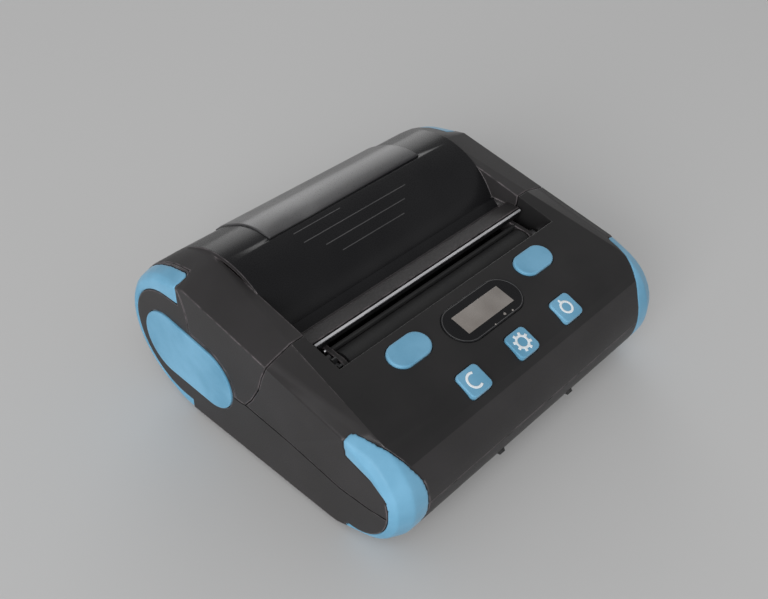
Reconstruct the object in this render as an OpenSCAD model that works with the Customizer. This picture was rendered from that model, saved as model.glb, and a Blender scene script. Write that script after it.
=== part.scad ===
// Portable thermal printer for 112 mm paper, in millimetres.
// +X is the printer's right, -Y its nose, +Y its hinge side, +Z up.
// The origin is on the table under its middle.

/* [Body] */
// Width over the side faces
body_w = 155; // [150:1:160]
// Radius of the rounded nose
nose_r = 24; // [23:0.5:25]
// Radius of the rounded rear
rear_r = 31.5; // [31:0.5:32]
// Radius of the bulge over the paper roll
bulge_r = 33; // [32.5:0.5:33.5]
// Wall thickness of the casings
wall = 2.2; // [1.8:0.1:2.4]
// Thickness of the soft corner bumpers
bumper_t = 2.2; // [1.8:0.1:2.4]
// Gap along the cover's seam
seam_gap = 0.5; // [0.3:0.05:0.6]

/* [Keys] */
// Length of an oval button
oval_len = 18.8; // [18:0.4:20]
// Width of an oval button
oval_wid = 10.8; // [10:0.4:11.2]
// Width of a square key
key_w = 10.8; // [10:0.2:11.4]
// Depth of a square key
key_d = 10.2; // [9.6:0.2:10.8]
// Distance between neighbouring keys
key_pitch = 27; // [25:1:28]
// How far a key or button stands out
key_proud = 0.9; // [0.6:0.1:1.2]

/* [Printing] */
// Radius of the rubber on the platen roller
platen_r = 6; // [5.5:0.25:6]
// Half the length of the platen rubber
platen_half = 51; // [49:1:51]
// Radius of the platen shaft
shaft_r = 2.5; // [2:0.25:2.5]
// Gear module, the tooth size
gear_mod = 1; // [1:0.1:1]
// Radius of the paper roll's space
roll_r = 26; // [24:0.5:26]

/* [Hinge] */
// Radius of the hinge pins
pin_r = 1.5; // [1.2:0.1:1.6]
// Radius of the hinge barrel
barrel_r = 4.2; // [3.8:0.1:4.2]

/* [Hidden] */

// Where the case screws stand: front right, rear right, and the two on the left
screw_places = [[50, -50], [63, 30], [-50, -50], [-63, 30]];
board_low = 6.4;
board_top = 8;

half_w = body_w / 2;
base_z = 1.5;
nose_y = -72.25 + nose_r;
nose_z = base_z + nose_r;
rear_y = 72.25 - rear_r;
rear_z = base_z + rear_r;
top_r = 32.5;
top_y = 36;
top_z = 36;
bulge_y = 32;
bulge_z = 37.5;
flat_half = 62;
round_half = 70;
deck_tilt = 13.2;
deck_y = nose_y - nose_r * sin(deck_tilt);
deck_z = nose_z + nose_r * cos(deck_tilt);
function deck_at(y) = deck_z + (y - deck_y) * tan(deck_tilt);

slot_half = 60;
lid_half = 59.5;
deck_edge_y = -28.3;
hinge_y = 62.5;
hinge_z = 48.5;
tower_r = 29.4;
tower_x = 70;
platen_y = -20.5;
platen_z = 44.5;
head_tilt = -53.13;
pivot_back = 14.5;
pivot_y = platen_y + pivot_back * sin(head_tilt);
pivot_z = platen_z - pivot_back * cos(head_tilt);
seam_z = 28;
tip_y = 3.5;

oval_y = -37.2;
oval_x = 35.6;
key_y = -59.4;
key_z = nose_z + sqrt(nose_r * nose_r - (key_y - nose_y) * (key_y - nose_y));
key_tilt = 22;
display_y = -41.2;
board_tilt = 14.9;
board_y = -48.3;
board_z = 40.6;

side_y1 = 24;
side_z1 = 28.3;
side_r1 = 13.3;
side_y2 = 47;
side_z2 = 30.3;
side_r2 = 14.3;

idler_teeth = 16;
platen_teeth = 12;
pinion_teeth = 10;
mesh_gap = 0.25;
idler_z = platen_z - gear_mod * (idler_teeth + platen_teeth) / 2 - mesh_gap;
motor_gap = gear_mod * (idler_teeth + pinion_teeth) / 2 + mesh_gap;
motor_drop = 36;
motor_y = platen_y + motor_gap * cos(motor_drop);
motor_z = idler_z - motor_gap * sin(motor_drop);
// The gears' turns put a tooth of each one in a gap of the next
idler_turn = 180 / idler_teeth;
idler_lead = idler_turn + 720 / idler_teeth - (90 - motor_drop);
motor_turn = 270 - motor_drop - idler_lead * idler_teeth / pinion_teeth - 180 / pinion_teeth;
gear_x = -56.6;
gear_w = 2;

// A flat shape drawn in Y and Z, made solid from x0 to x1
module slab(x0, x1) translate([x0, 0, 0]) rotate([90, 0, 90]) linear_extrude(x1 - x0) children();
module rod(x0, x1, y, z, r, sides = 32)
    translate([x0, y, z]) rotate([0, 90, 0]) cylinder(r = r, h = x1 - x0, $fn = sides);
module block(x0, x1, y0, y1, z0, z1) translate([x0, y0, z0]) cube([x1 - x0, y1 - y0, z1 - z0]);
module disc(x, y, z, r) rod(x - 0.4, x, y, z, r, 44);
module both() {
    children();
    mirror([1, 0, 0]) children();
}
// The deck's own frame: Z square to the deck, at a place on its surface
module on_deck(x, y) translate([x, y, deck_at(y)]) rotate([deck_tilt, 0, 0]) children();
module on_keys(x) translate([x, key_y, key_z]) rotate([key_tilt, 0, 0]) children();
module on_board(x, y)
    translate([x, board_y, board_z]) rotate([board_tilt, 0, 0]) translate([0, y, 0]) children();
module at_head() translate([0, platen_y, platen_z]) rotate([head_tilt, 0, 0]) children();

// The printer's outer form, grown by g all round
module form(g) hull() both() {
    disc(flat_half, nose_y, nose_z, nose_r + g);
    disc(flat_half, rear_y, rear_z, rear_r + g);
    disc(flat_half, top_y, top_z, top_r + g);
    disc(round_half, nose_y, nose_z, nose_r + g);
    disc(round_half, rear_y, rear_z, rear_r + g);
    disc(75.6 + 0.7 * g, nose_y, nose_z, nose_r - 2.4 + g);
    disc(75.6 + 0.7 * g, rear_y, rear_z, rear_r - 1.5 + g);
    disc(half_w + g, nose_y, nose_z, nose_r - 5.5 + g);
    disc(half_w + g, rear_y, rear_z, rear_r - 3.5 + g);
    disc(half_w + g, -46, 47.3 + g, 0.5);
    disc(half_w + g, 33, 63.5 + g, 0.5);
    disc(half_w + g, -40, 14, 11 + g);
    disc(half_w + g, 40, 14, 11 + g);
}

// The cover's middle, over the roll
module lid_profile(g) hull() {
    translate([bulge_y, bulge_z]) circle(bulge_r + g, $fn = 72);
    translate([top_y, top_z]) circle(top_r + g, $fn = 72);
    translate([rear_y, rear_z]) circle(rear_r + g, $fn = 72);
}

// The side oval: two round ends and the straight sides that touch both
module side_oval(g) {
    tilt = atan2(side_z2 - side_z1, side_y2 - side_y1);
    lean = asin((side_r2 - side_r1) / norm([side_y2 - side_y1, side_z2 - side_z1]));
    up = tilt + 90 + lean;
    down = tilt - 90 - lean;
    translate([side_y1, side_z1]) circle(side_r1 + g, $fn = 48);
    translate([side_y2, side_z2]) circle(side_r2 + g, $fn = 48);
    polygon([[side_y1 + (side_r1 + g) * cos(up), side_z1 + (side_r1 + g) * sin(up)],
        [side_y1 + (side_r1 + g) * cos(down), side_z1 + (side_r1 + g) * sin(down)],
        [side_y2 + (side_r2 + g) * cos(down), side_z2 + (side_r2 + g) * sin(down)],
        [side_y2 + (side_r2 + g) * cos(up), side_z2 + (side_r2 + g) * sin(up)]]);
}

// The black island that a front bumper runs round, and the rear one
module front_island(g) offset(delta = g) intersection() {
    union() {
        translate([nose_y, nose_z]) circle(nose_r - 5.5, $fn = 48);
        translate([nose_y, nose_z - nose_r + 4.5]) square([30, 2 * (nose_r - 5)]);
    }
    polygon([[-90, -10], [20, -10], [20, 60], [-47.5, 60], [-47.5, 41], [-59, 37.6], [-66.5, 32],
        [-90, 20]]);
}
module rear_island(g) {
    intersection() {
        translate([rear_y + 4, rear_z]) circle(22 + g, $fn = 48);
        translate([0, rear_z]) square(90);
    }
    intersection() {
        translate([rear_y, rear_z]) circle(rear_r - 5.5 + g, $fn = 48);
        translate([0, rear_z - 90]) square([90, 90]);
    }
    translate([rear_y - 30, rear_z - rear_r + 5.5 - g]) square([30, rear_r - 5.5 + g]);
    translate([rear_y - 30, rear_z]) square([34, 22 + g]);
}

// Where the bumpers lie, seen from above, on the right side
module front_plan(g) translate([0, 0, -5]) linear_extrude(90) offset(r = g)
    polygon([[90, -47], [74.2, -47], [73, -48.6], [71.1, -56], [68.7, -62], [66.3, -66.5], [63.9, -70],
        [62.8, -73], [62.8, -90], [90, -90]]);
module rear_plan(g) translate([0, 0, -5]) linear_extrude(90) offset(r = g)
    polygon([[90, 37.5], [72, 37.5], [70.8, 38.7], [70.8, 90], [90, 90]]);
module bumper_space(g) {
    difference() {
        front_plan(g);
        slab(-90, 90) front_island(-g);
    }
    difference() {
        rear_plan(g);
        slab(-90, 90) rear_island(-g);
    }
}
module bumper(side) mirror([side < 0 ? 1 : 0, 0, 0]) intersection() {
    difference() {
        form(0);
        form(-bumper_t);
    }
    children();
}

// The seams, drawn in Y and Z
module below_seam() polygon([[-90, -5], [90, -5], [90, seam_z], [tip_y, seam_z], [-20, 26], [-45, 22.5],
    [-58, 23.2], [-90, 27]]);
module ahead_of_cover() polygon([[-90, 90], [-11, 90], [-10.3, 54.8], [-7.6, 48.8], [-5.2, 41.5], [-0.4, 33],
    [tip_y, seam_z], [-20, 26], [-45, 22.5], [-58, 23.2], [-90, 27]]);
module cheek_area() difference() {
    polygon([[-11, 90], [-10.3, 54.8], [-7.6, 48.8], [-5.2, 41.5], [-0.4, 33], [tip_y, seam_z], [60, seam_z],
        [60, 90]]);
    side_oval(1.6 + seam_gap);
    translate([hinge_y, hinge_z]) circle(tower_r + seam_gap, $fn = 96);
}
module tower_area() {
    intersection() {
        translate([hinge_y, hinge_z]) circle(tower_r, $fn = 96);
        translate([20, seam_z - 1]) square([60, 60]);
    }
    side_oval(1.6);
}
module rear_lid_area() difference() {
    translate([20, hinge_z]) square([60, 60]);
    translate([20, 0]) square([13, 51]);
}

// The case as one closed shell, before the seams divide it
module case_shell() difference() {
    union() {
        difference() {
            form(0);
            both() bumper_space(0.15);
        }
        form(-bumper_t - 0.15);
    }
    intersection() {
        form(-wall);
        block(-61.8, 61.8, -90, 90, 0, 90);
    }
    form(-bumper_t - wall);
}
module fixed_area() {
    below_seam();
    difference() {
        translate([20, seam_z - 1]) square([60, 47 - seam_z + 1]);
        translate([hinge_y, hinge_z]) circle(6.2, $fn = 48);
    }
}

module bottom_case() color("#262728") difference() {
    union() {
        intersection() {
            case_shell();
            union() {
                slab(-69.9, 69.9) fixed_area();
                both() slab(tower_x - 0.1, 90) {
                    below_seam();
                    tower_area();
                }
            }
        }
        intersection() {
            form(-bumper_t - 0.15);
            both() slab(tower_x, tower_x + 1.8) tower_area();
        }
        intersection() {
            form(-0.5);
            both() {
                block(44, 49.5, 55, 66.8, 30, hinge_z);
                block(44, 49.5, 55, 72, 30, 41);
            }
        }
        both() bottom_ribs();
    }
    both() slab(half_w - 2.9, 90) side_oval(0.3);
    both() rod(tower_x - 1, 80, 35, 29.3, 4.2);
    for (x = [-54, 54], y = [-42, 36]) translate([x, y, base_z - 1]) cylinder(r = 5.6, h = 1.5, $fn = 32);
    for (p = screw_places) translate([p[0], p[1], 0]) cylinder(r = 1.4, h = 9.2, $fn = 24);
    for (x = [-25, 25]) translate([x, 14, 0]) cylinder(r = 2.1, h = 9, $fn = 24);
    block(-36.5, 36.5, -48.5, -23, -1, 4.5);
    block(70, 90, -32.2, -21.8, 9.4, 13.4);
    block(70, 90, -19, -9, 7.8, 15.2);
    slab(half_w - 1.4, 90) translate([-35.9, 6.8]) square([30.1, 9.4]);
    both() rod(43.9, 49.6, hinge_y, hinge_z, pin_r + 0.05, 24);
    for (x = [-21, 21]) at_stud(x) translate([0, 0, -0.3]) cylinder(r = 2, h = 3, $fn = 24);
}
module bottom_ribs() {
    for (p = [screw_places[0], screw_places[1]]) translate([p[0], p[1], 2])
        cylinder(r = 3.6, h = 6.9, $fn = 32);
    for (p = [[51, -18], [51, 0], [65, -33]]) translate([p[0], p[1], 3])
        cylinder(r = 2.4, h = board_low - 3, $fn = 24);
    translate([25, 14, base_z]) cylinder(r = 4, h = 5.2, $fn = 32);
    translate([0, -22, 0]) rotate([90, 0, 0]) linear_extrude(28)
        polygon([[38.8, 1.7], [37.8, 0.4], [40.5, 0.4], [40.5, 1.7]]);
    rod(44, 49.5, hinge_y, hinge_z, barrel_r - 0.2);
}

module top_case() color("#1d1e20") difference() {
    union() {
        intersection() {
            case_shell();
            translate([0, 0, seam_gap / 2]) slab(-90, 90) ahead_of_cover();
        }
        intersection() {
            form(-1);
            union() {
                both() slab(slot_half + 0.2, slot_half + 2) translate([0, -seam_gap]) intersection() {
                    ahead_of_cover();
                    translate([deck_edge_y - 1, 38]) square([30, 30]);
                }
                block(-61, 61, deck_edge_y - 1.2, deck_edge_y, 47.5, 60);
                both() translate([50, -50, 9.1]) cylinder(r = 3, h = 45, $fn = 32);
                both() translate([50, -50, 41.6]) cylinder(r = 4.6, h = 12, $fn = 32);
            }
        }
    }
    both() translate([50, -50, 9]) cylinder(r = 1.4, h = 5, $fn = 24);
    block(-slot_half - 0.2, slot_half + 0.2, deck_edge_y, 20, 20, 90);
    translate([0, -seam_gap, 0]) slab(-90, 90) difference() {
        translate([-30, 20]) square([60, 60]);
        ahead_of_cover();
    }
    for (s = [-1, 1]) on_deck(s * oval_x, oval_y) stadium(oval_len + 0.7, oval_wid + 0.7, -6, 6);
    for (k = [-1:1]) on_keys(k * key_pitch) rounded(key_w + 0.7, key_d + 0.7, 2.2, -6, 6);
    on_deck(0, display_y) rounded(26, 9.4, 0.8, -6, 6);
    on_deck(0, display_y) stadium(39.2, 17.2, -1.2, 6);
}
module stadium(len, wid, z0, z1) translate([0, 0, z0]) linear_extrude(z1 - z0) {
    square([len - wid, wid], center = true);
    for (s = [-1, 1]) translate([s * (len - wid) / 2, 0]) circle(wid / 2, $fn = 40);
}
module rounded(w, d, r, z0, z1) translate([0, 0, z0]) linear_extrude(z1 - z0) {
    square([w - 2 * r, d], center = true);
    square([w, d - 2 * r], center = true);
    for (x = [-1, 1], y = [-1, 1]) translate([x * (w / 2 - r), y * (d / 2 - r)]) circle(r, $fn = 24);
}

window_half = 41;
module window_area() polygon([[bulge_y - 6, 90], [bulge_y - 3, 50], [rear_y + 6, 48], [68, 62], [64, 90]]);
module cover_shell() color("#141517") difference() {
    union() {
        intersection() {
            difference() {
                form(0);
                form(-wall);
            }
            both() {
                slab(slot_half, 90) cheek_area();
                slab(slot_half, tower_x - seam_gap) rear_lid_area();
            }
        }
        intersection() {
            difference() {
                slab(-slot_half - 0.1, slot_half + 0.1) lid_profile(0);
                slab(-90, 90) lid_profile(-2);
            }
            slab(-90, 90) union() {
                rear_lid_area();
                translate([-20, 51]) square([60, 40]);
            }
        }
        intersection() {
            form(-0.6);
            both() slab(slot_half, slot_half + 1.8) intersection() {
                union() {
                    cheek_area();
                    translate([30, hinge_z + 2]) square([34, 40]);
                }
                translate([-20, 47]) square([90, 40]);
            }
        }
        slab(-lid_half, lid_half) polygon([[3.4, 51.5], [1.2, 53], [-2, 50.5], [-4.4, 50.5], [-5.4, 53.5],
            [-12, 54.2], [-12, 51.6], [-6, 49.2], [-1, 48.8], [3.4, 49]]);
        both() slab(slot_half - 1, slot_half + 1.5) translate([-6.6, 47.6]) square([9.8, 5]);
        both() slab(52, 54) {
            translate([platen_y, platen_z]) circle(5.8, $fn = 48);
            polygon([[-22.3, 50], [-12.5, 51], [-4, 51], [-4, 49.5], [-15.4, 41.8]]);
        }
        both() rod(50, slot_half + 1, hinge_y, hinge_z, barrel_r);
        rod(-43.5, 43.5, hinge_y, hinge_z, barrel_r);
    }
    both() rod(43.6, 49.9, hinge_y, hinge_z, 6.8, 40);
    both() rod(49, slot_half + 3, hinge_y, hinge_z, pin_r + 0.05, 24);
    both() rod(43, 44, hinge_y, hinge_z, pin_r + 0.05, 24);
    both() rod(51, 55, platen_y, platen_z, 4.05, 40);
    intersection() {
        difference() {
            slab(-window_half, window_half) window_area();
            slab(-90, 90) lid_profile(-1.2);
        }
        block(-window_half, window_half, 20, 62, 40, 90);
    }
    slab(-window_half + 3, window_half - 3) translate([bulge_y - 1, 45]) square([28, 40]);
    block(-slot_half, slot_half, -12.2, -10.6, 51.8, 53.2);
    both() block(70.3, 90, 37, 60, 50, 90);
}
module cover_window() color("#2b2c2f") intersection() {
    difference() {
        slab(-window_half + 0.2, window_half - 0.2) lid_profile(0.7);
        slab(-90, 90) lid_profile(-1.1);
    }
    slab(-90, 90) offset(delta = -0.2) window_area();
    block(-90, 90, 20, 61.8, 40, 90);
}
module tear_bar() color("#d8dadb") slab(-58, 58)
    polygon([[-10.8, 52], [-12.3, 52], [-12.3, 51.4], [-13.6, 51.4], [-14.2, 54.6], [-13.2, 54.4],
        [-12.3, 53], [-10.8, 53]]);

module front_bumper_left() color("#79b6d9") bumper(-1) difference() {
    front_plan(0);
    slab(-90, 90) front_island(0);
}
module front_bumper_right() color("#79b6d9") bumper(1) difference() {
    front_plan(0);
    slab(-90, 90) front_island(0);
}
module rear_bumper_left() color("#79b6d9") bumper(-1) difference() {
    rear_plan(0);
    slab(-90, 90) rear_island(0);
}
module rear_bumper_right() color("#79b6d9") bumper(1) difference() {
    rear_plan(0);
    slab(-90, 90) rear_island(0);
}
module rubber_feet() color("#202020") for (x = [-54, 54], y = [-42, 36]) translate([x, y, 0])
    cylinder(r = 5.4, h = base_z + 0.45, $fn = 32);
module case_screws() color("#b8bcc0") for (p = screw_places) translate([p[0], p[1], 0.6]) {
    cylinder(r = 1.3, h = 12, $fn = 16);
    cylinder(r = 2.6, h = 0.85, $fn = 24);
}
module clip_inserts() color("#c9a24a") for (x = [-25, 25]) translate([x, 14, base_z]) difference() {
    cylinder(r = 2.05, h = 4.6, $fn = 32);
    translate([0, 0, -1]) cylinder(r = 1.25, h = 9, $fn = 24);
}
module at_stud(x) translate([x, -69.6, 14.9]) rotate([116.6, 0, 0]) children();
module nose_studs() color("#202124") for (x = [-21, 21]) at_stud(x) translate([0, 0, -0.3])
    cylinder(r1 = 1.9, r2 = 1.2, h = 1.5, $fn = 24);

// Side buttons that let the cover go, and the springs behind them
module release_button() {
    slab(half_w - 1.3, half_w + 0.7) side_oval(0);
    rod(tower_x - 0.5, half_w - 1.3, 35, 29.3, 4);
    rod(tower_x - 1.4, tower_x - 0.4, 35, 29.3, 5.2);
}
module release_button_left() color("#79b6d9") mirror([1, 0, 0]) release_button();
module release_button_right() color("#79b6d9") release_button();
module release_spring() difference() {
    rod(tower_x - 9.4, tower_x - 1.4, 35, 29.3, 3.2);
    rod(tower_x - 12, tower_x, 35, 29.3, 2.6, 24);
}
module release_spring_left() color("#b8bcc0") mirror([1, 0, 0]) release_spring();
module release_spring_right() color("#b8bcc0") release_spring();

module oval_button() {
    stadium(oval_len, oval_wid, -4, key_proud);
    stadium(oval_len + 2.4, oval_wid, -4.2, -3.1);
    translate([0, 0, -6.6]) cylinder(r = 1.6, h = 2.6, $fn = 24);
}
module feed_button_left() color("#79b6d9") on_deck(-oval_x, oval_y) oval_button();
module feed_button_right() color("#79b6d9") on_deck(oval_x, oval_y) oval_button();
module square_key() {
    rounded(key_w, key_d, 2, -5, key_proud);
    rounded(key_w + 2, key_d + 2, 2.4, -5, -4);
    translate([0, 0, -6.6]) cylinder(r = 1.6, h = 2, $fn = 24);
}
module key_left() color("#79b6d9") on_keys(-key_pitch) square_key();
module key_middle() color("#79b6d9") on_keys(0) square_key();
module key_right() color("#79b6d9") on_keys(key_pitch) square_key();

module display_window() color("#3a3a3c") on_deck(0, display_y) stadium(38.8, 16.8, -1, 0.15);
module display_module() color("#8f8a80") on_deck(0, display_y) block(-15.5, 15.5, -6.2, 6.2, -8.6, -3.2);
module key_board() color("#2f6b3c") {
    difference() {
        on_board(0, 0) block(-56, 56, -15, 16.5, -1.6, 0);
        both() translate([50, -50, 30]) cylinder(r = 3.5, h = 20, $fn = 32);
    }
    for (s = [-1, 1]) on_board(s * oval_x, 11.4) block(-2.5, 2.5, -2.5, 2.5, 0, 1.2);
    for (k = [-1:1]) on_board(k * key_pitch, -10.3) block(-2.5, 2.5, -2.5, 2.5, 0, 0.9);
}
module main_board() color("#2f6b3c") {
    translate([0, 0, board_low]) linear_extrude(board_top - board_low)
        polygon([[-54, -22], [40, -22], [40, -36], [71, -36], [71, 0], [60, 0], [60, -24], [55, -24],
            [55, 4], [-54, 4]]);
    block(-30, -14, -14, -2, board_top, board_top + 1.8);
    block(-8, 4, -14, -4, board_top, board_top + 1.4);
    for (x = [12, 20, 28]) translate([x, -8, board_top]) cylinder(r = 3, h = 6, $fn = 24);
}
module battery_pack() color("#3b4a63") block(-35, 35, -47.5, -24, 1.8, 20.5);
module battery_contacts() color("#c9a24a") for (x = [-8, 0, 8]) {
    block(x - 1.5, x + 1.5, -23.7, -22.4, board_top, 14);
    block(x - 1.5, x + 1.5, -22.4, -19.5, board_top, board_top + 0.6);
}
module battery_cover() color("#202124") {
    translate([0, -22, 0]) rotate([90, 0, 0]) linear_extrude(28)
        polygon([[-38.3, 1.35], [38.3, 1.35], [37.5, 0.35], [-37.5, 0.35]]);
    for (k = [0:3]) block(-12, 12, -47 + 2 * k, -46 + 2 * k, 0.1, 0.5);
}

// Metal frame of the print mechanism: two side plates and a cross plate
module chassis() color("#9a9fa4") {
    both() difference() {
        slab(57, 58.2) polygon([[-38, 25.6], [-38, 36], [-30, 46.5], [-13, 46.5], [-4, 36], [-2, 12],
            [-2, 3.75], [-22, 3.75], [-22, 25.6]]);
        slab(50, 60) translate([platen_y - shaft_r - 0.3, platen_z - shaft_r - 0.3])
            square([2 * shaft_r + 0.6, 20]);
        rod(50, 60, pivot_y, pivot_z, 1.55, 24);
        rod(50, 60, platen_y, idler_z, 1.55, 24);
        rod(50, 60, motor_y, motor_z, 3.2, 24);
    }
    for (s = [-1, 1]) rod(-57.1, -54.2, motor_y, motor_z + 11 * s, 1.8, 24);
    block(-57.1, 57.1, -5.5, -3, 33, 34.2);
    difference() {
        union() {
            block(-57.1, 57.1, -38, -24.5, 25.6, 26.8);
            at_head() block(-57.1, 57.1, -6, 9, -18.6, -17.4);
        }
        rod(-57, -54.1, platen_y, idler_z, 9.3, 48);
    }
}
module print_head() color("#c9cdd0") at_head() {
    block(-54.2, 54.2, -5, 7, -platen_r - 1.1, -platen_r - 0.3);
    block(-50, 50, 3.5, 7, -platen_r - 0.3, -platen_r + 0.3);
}
module head_heatsink() color("#8b9095") difference() {
    at_head() {
        block(-54.2, 54.2, -4.8, 9, -platen_r - 4.2, -platen_r - 1.1);
        for (x = [-48, 48]) block(x - 3, x + 3, -2.5, 2.5, -platen_r - 11, -platen_r - 4.2);
    }
    rod(-60, 60, pivot_y, pivot_z, 1.55, 24);
}
module head_pivot_pin() color("#c0c4c8") rod(-58.6, 58.6, pivot_y, pivot_z, 1.5, 24);
module head_springs() color("#b8bcc0") for (x = [-30, 0, 30]) at_head() translate([x, 5, -platen_r - 11.3])
    difference() {
        cylinder(r = 3, h = 6.9, $fn = 32);
        translate([0, 0, -1]) cylinder(r = 2.3, h = 9, $fn = 24);
    }

// A straight-sided tooth of module 1, drawn from the pitch circle
module tooth() polygon([[-1.5, -0.85], [0, -0.66], [0.9, -0.32], [0.9, 0.32], [0, 0.66], [-1.5, 0.85]]);
// A spur gear, its axis along X
module gear(teeth, w, bore_r, turn = 0) rotate([0, 90, 0]) rotate([0, 0, turn]) difference() {
    linear_extrude(w) {
        circle(gear_mod * (teeth / 2 - 1.2), $fn = 48);
        for (k = [0:teeth - 1]) rotate([0, 0, 360 * k / teeth])
            translate([gear_mod * teeth / 2, 0]) scale(gear_mod) tooth();
    }
    translate([0, 0, -1]) cylinder(r = bore_r, h = w + 2, $fn = 32);
}
module platen_shaft() color("#c0c4c8") rod(-59.3, 59.3, platen_y, platen_z, shaft_r, 40);
module platen_rubber() color("#17181a") difference() {
    rod(-platen_half, platen_half, platen_y, platen_z, platen_r, 64);
    rod(-60, 60, platen_y, platen_z, shaft_r, 40);
}
module platen_gear() color("#3a3a3c") translate([gear_x, platen_y, platen_z])
    gear(platen_teeth, gear_w, shaft_r, 0);
module platen_bushes() color("#4a4c50") both() difference() {
    union() {
        rod(51.8, 54.2, platen_y, platen_z, 4, 40);
        rod(51.4, 51.85, platen_y, platen_z, 5, 40);
    }
    rod(50, 56, platen_y, platen_z, shaft_r + 0.05, 40);
}
module idler_gear() color("#3a3a3c") translate([gear_x, platen_y, idler_z])
    gear(idler_teeth, gear_w, 1.55, idler_turn);
module idler_axle() color("#c0c4c8") rod(-58.8, -54, platen_y, idler_z, 1.5, 32);
module motor_pinion() color("#c9a24a") {
    translate([gear_x, motor_y, motor_z]) gear(pinion_teeth, gear_w, 0.9, motor_turn);
    rod(gear_x - 0.2, -50.6, motor_y, motor_z, 1, 32);
}
module stepper_motor() color("#7f8489") difference() {
    union() {
        rod(-53, -33, motor_y, motor_z, 9.5, 48);
        slab(-54.2, -53) translate([motor_y - 4, motor_z - 13]) square([8, 26]);
    }
    rod(-60, -50, motor_y, motor_z, 1.05, 32);
}

// The trough that the paper roll lies in, and its sliding guides
module roll_tray() color("#1b1c1e") {
    difference() {
        intersection() {
            slab(-58.5, 58.5) difference() {
                translate([bulge_y, 33.5]) circle(roll_r + 1.5, $fn = 72);
                translate([bulge_y, 33.5]) circle(roll_r, $fn = 72);
            }
            block(-60, 60, 0, 90, 0, 40);
        }
        both() block(43.5, 50, 54.5, 62, 29.5, 41);
    }
    both() intersection() {
        rod(57, 58.5, bulge_y, 33.5, roll_r + 0.5, 72);
        block(50, 60, 0, 90, 0, 40);
    }
    both() difference() {
        block(58, 66.5, 26.5, 33.5, 8.9, 10.7);
        translate([63, 30, 5]) cylinder(r = 1.4, h = 9, $fn = 24);
    }
}
module paper_guide() difference() {
    intersection() {
        rod(53, 55, bulge_y, 33.5, roll_r - 0.6, 64);
        block(50, 60, 12, 52, 0, 38);
    }
    rod(50, 60, bulge_y, 33.5, 6);
}
module paper_guide_left() color("#2a2b2e") mirror([1, 0, 0]) paper_guide();
module paper_guide_right() color("#2a2b2e") paper_guide();
module paper_sensor() color("#26272a") block(-4, 4, -9.5, -3, 34.2, 37.2);
module cover_switch() color("#26272a") block(58.2, 62.2, -30, -19, 30.5, 36.5);
module hinge_pins() color("#c0c4c8") both() rod(44, slot_half + 0.5, hinge_y, hinge_z, pin_r, 24);
module usb_socket() color("#b8bcc0") difference() {
    union() {
        block(66, half_w - 1.5, -31.9, -22.1, 9.6, 13.2);
        block(66, 70.5, -31.9, -22.1, board_top, 9.7);
    }
    block(70, 80, -31.4, -22.6, 10.1, 12.7);
}
module dc_socket() color("#26272a") difference() {
    block(64, half_w - 1.5, -18.7, -9.3, board_top, 15);
    rod(68, 80, -14, 11.5, 3.1, 32);
}
module port_cover() color("#202124") {
    slab(half_w - 1.2, half_w - 0.2) translate([-35, 7]) square([29, 9]);
    translate([half_w - 0.7, -35, 7]) cylinder(r = 0.5, h = 9, $fn = 24);
}

bottom_case();
top_case();
cover_shell();
cover_window();
tear_bar();
front_bumper_left();
front_bumper_right();
rear_bumper_left();
rear_bumper_right();
rubber_feet();
case_screws();
release_button_left();
release_button_right();
release_spring_left();
release_spring_right();
feed_button_left();
feed_button_right();
key_left();
key_middle();
key_right();
display_window();
display_module();
key_board();
main_board();
battery_pack();
battery_contacts();
battery_cover();
chassis();
print_head();
head_heatsink();
head_pivot_pin();
head_springs();
platen_shaft();
platen_rubber();
platen_gear();
platen_bushes();
idler_gear();
idler_axle();
motor_pinion();
stepper_motor();
roll_tray();
paper_guide_left();
paper_guide_right();
paper_sensor();
cover_switch();
hinge_pins();
usb_socket();
dc_socket();
port_cover();
clip_inserts();
nose_studs();
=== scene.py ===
import bpy
import math
from mathutils import Matrix, Vector


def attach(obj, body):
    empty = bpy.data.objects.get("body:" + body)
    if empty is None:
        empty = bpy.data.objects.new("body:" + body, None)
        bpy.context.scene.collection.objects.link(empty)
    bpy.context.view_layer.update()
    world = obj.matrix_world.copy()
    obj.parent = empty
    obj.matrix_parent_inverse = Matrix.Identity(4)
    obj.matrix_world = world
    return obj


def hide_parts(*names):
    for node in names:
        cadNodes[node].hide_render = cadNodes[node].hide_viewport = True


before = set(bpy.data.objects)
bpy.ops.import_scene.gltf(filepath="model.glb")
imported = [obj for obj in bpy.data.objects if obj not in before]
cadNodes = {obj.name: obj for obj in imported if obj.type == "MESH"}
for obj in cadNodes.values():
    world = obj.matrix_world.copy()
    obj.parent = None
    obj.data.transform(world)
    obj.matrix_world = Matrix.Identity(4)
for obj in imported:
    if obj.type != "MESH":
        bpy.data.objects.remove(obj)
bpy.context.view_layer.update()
print("frame loaded:", len(cadNodes), "nodes")

mm = 0.001

# small helpers


def deselectAll():
    if bpy.context.object and bpy.context.object.mode != "OBJECT":
        bpy.ops.object.mode_set(mode="OBJECT")
    bpy.ops.object.select_all(action="DESELECT")


def makeActive(piece):
    deselectAll()
    piece.select_set(True)
    bpy.context.view_layer.objects.active = piece


def settle(piece):
    # the place goes into the mesh, so the object sits at the origin
    makeActive(piece)
    bpy.ops.object.transform_apply(location=True, rotation=True, scale=True)


def selectWhere(piece, kind, test):
    # faces, edges or verts picked by their place, in edit mode's selection
    bpy.ops.object.mode_set(mode="EDIT")
    bpy.ops.mesh.select_all(action="DESELECT")
    bpy.ops.mesh.select_mode(type=kind)
    bpy.ops.object.mode_set(mode="OBJECT")
    parts = {"FACE": piece.data.polygons, "EDGE": piece.data.edges, "VERT": piece.data.vertices}[kind]
    for part in parts:
        part.select = test(part)
    bpy.ops.object.mode_set(mode="EDIT")


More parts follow.
